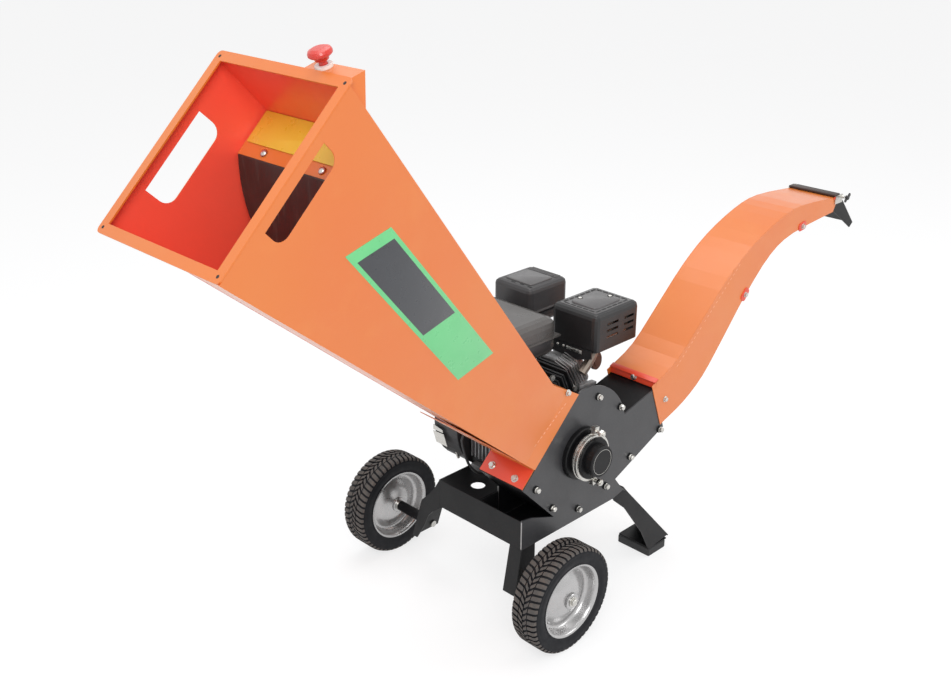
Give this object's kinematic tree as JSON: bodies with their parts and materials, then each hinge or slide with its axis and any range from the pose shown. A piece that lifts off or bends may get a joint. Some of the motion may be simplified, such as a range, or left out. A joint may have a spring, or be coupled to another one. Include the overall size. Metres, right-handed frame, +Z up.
{
  "type": "petrol garden shredder",
  "caption": "Wheeled petrol garden shredder: a square funnel hopper feeds a knife rotor turned by a small engine, and a curved chute with a tilting deflector throws the chips out.",
  "frame": {"origin": "on the floor, at the middle of the machine's footprint box", "axes": "+X from the hopper towards the chute's outlet, +Z up, -Y towards the side with the rotor's outer bearing"},
  "size_m": [2.0946, 0.661, 1.3831],
  "materials": {
    "orange_paint": "orange powder coat",
    "black_paint": "black powder coat",
    "plate_grey": "dark grey powder coat",
    "tyre_rubber": "black rubber",
    "rim_silver": "silver paint",
    "zinc": "zinc plated",
    "foot_rubber": "black rubber",
    "knife_steel": "ground steel",
    "rotor_steel": "bare steel",
    "curtain_rubber": "black rubber",
    "stop_red": "red plastic",
    "stop_white": "white plastic",
    "engine_cast": "cast aluminium",
    "engine_black": "black",
    "tank_grey": "dark grey satin",
    "cap_black": "black",
    "guard_black": "black paint",
    "muffler_steel": "heat-stained steel",
    "box_black": "black",
    "lever_black": "black",
    "plastic_white": "off-white"
  },
  "bodies": {
    "frame": {"base_table": "black_paint", "front_leg_near": "black_paint", "front_leg_far": "black_paint", "rear_leg_near": "black_paint", "rear_leg_far": "black_paint", "foot_pad_near": "foot_rubber", "foot_pad_far": "foot_rubber", "axle_near": "zinc", "axle_far": "zinc", "chamber_plate_near": "plate_grey", "chamber_plate_far": "black_paint", "chamber_top_wrap": "black_paint", "chamber_bottom_wrap": "black_paint", "inlet_plate": "black_paint", "bed_knife": "knife_steel", "bearing_housing": "black_paint", "bearing_clamp": "zinc", "hopper_panel_near": "orange_paint", "hopper_panel_far": "orange_paint", "hopper_panel_top": "orange_paint", "hopper_panel_bottom": "orange_paint", "mouth_frame": "orange_paint", "hopper_baffle": "orange_paint", "engine_guard": "orange_paint", "switch_box": "orange_paint", "stop_collar": "stop_white", "chute_side_near": "orange_paint", "chute_side_far": "orange_paint", "chute_panel_top": "orange_paint", "chute_panel_bottom": "orange_paint", "deflector_pin": "zinc", "crankcase": "engine_cast", "cylinder": "engine_black", "cylinder_head": "engine_cast", "fan_shroud": "engine_black", "recoil_cover": "engine_black", "fuel_tank": "tank_grey", "muffler": "muffler_steel", "muffler_guard": "guard_black", "air_cleaner_base": "box_black", "air_cleaner_cover": "box_black", "carburettor": "engine_cast"},
    "wheel_near": {"tyre_near": "tyre_rubber", "rim_near": "rim_silver"},
    "wheel_far": {"tyre_far": "tyre_rubber", "rim_far": "rim_silver"},
    "rotor": {"rotor": "rotor_steel", "rotor_knife_a": "knife_steel", "rotor_knife_b": "knife_steel", "fan_flywheel": "engine_cast"},
    "starter_pulley": {"starter_pulley": "plastic_white"},
    "pull_handle": {"pull_handle": "engine_black"},
    "fuel_cap": {"fuel_cap": "cap_black"},
    "throttle_lever": {"throttle_lever": "plate_grey"},
    "choke_lever": {"choke_lever": "plate_grey"},
    "fuel_tap_lever": {"fuel_tap_lever": "lever_black"},
    "engine_switch": {"engine_switch": "stop_red"},
    "stop_button": {"stop_button": "stop_red"},
    "feed_curtain": {"feed_curtain": "curtain_rubber"},
    "deflector": {"deflector_flap": "black_paint"}
  },
  "joints": [
    {"name": "wheel_near_spin", "type": "hinge", "parent": "frame", "child": "wheel_near", "pos_m": [-0.22641, -0.2885, 0.127], "axis": [0, 1, 0], "continuous": true},
    {"name": "wheel_far_spin", "type": "hinge", "parent": "frame", "child": "wheel_far", "pos_m": [-0.22641, 0.2885, 0.127], "axis": [0, 1, 0], "continuous": true},
    {"name": "rotor_spin", "type": "hinge", "parent": "frame", "child": "rotor", "pos_m": [-0.09541, -0.152, 0.411], "axis": [0, 1, 0], "continuous": true},
    {"name": "pull_handle_out", "type": "slide", "parent": "frame", "child": "pull_handle", "axis": [-0.866, 0, 0.5], "range_m": [0, 0.6], "stiffness_N_per_m": 15, "springref_m": -0.15},
    {"name": "starter_pulley_spin", "type": "hinge", "parent": "frame", "child": "starter_pulley", "pos_m": [-0.09541, 0.1523, 0.411], "axis": [0, 1, 0], "range_deg": [0, 760]},
    {"name": "fuel_cap_turn", "type": "hinge", "parent": "frame", "child": "fuel_cap", "pos_m": [-0.12541, 0.08, 0.662], "axis": [0, 0, 1], "range_deg": [0, 90]},
    {"name": "throttle_lever_turn", "type": "hinge", "parent": "frame", "child": "throttle_lever", "pos_m": [0.02959, 0.11, 0.5155], "axis": [0, 0, 1], "range_deg": [-25, 25]},
    {"name": "choke_lever_turn", "type": "hinge", "parent": "frame", "child": "choke_lever", "pos_m": [0.12359, 0.1358, 0.565], "axis": [0, 1, 0], "range_deg": [0, 45]},
    {"name": "fuel_tap_turn", "type": "hinge", "parent": "frame", "child": "fuel_tap_lever", "pos_m": [0.09559, 0.1358, 0.53], "axis": [0, 1, 0], "range_deg": [0, 90]},
    {"name": "engine_switch_rock", "type": "hinge", "parent": "frame", "child": "engine_switch", "pos_m": [0.03859, 0.1243, 0.481], "axis": [1, 0, 0], "range_deg": [-6, 6]},
    {"name": "stop_button_push", "type": "slide", "parent": "frame", "child": "stop_button", "axis": [0.2993, 0, -0.9542], "range_m": [0, 0.004]},
    {"name": "feed_curtain_swing", "type": "hinge", "parent": "frame", "child": "feed_curtain", "pos_m": [-0.77798, -0.152, 1.16952], "axis": [0, -1, 0], "range_deg": [-20, 55]},
    {"name": "deflector_tilt", "type": "hinge", "parent": "frame", "child": "deflector", "pos_m": [0.94959, -0.152, 0.791], "axis": [0, 1, 0], "range_deg": [-35, 18]}
  ],
  "couplings": [
    {"joint": "starter_pulley_spin", "follows": "pull_handle_out", "rad_per_m": 21.739}
  ]
}
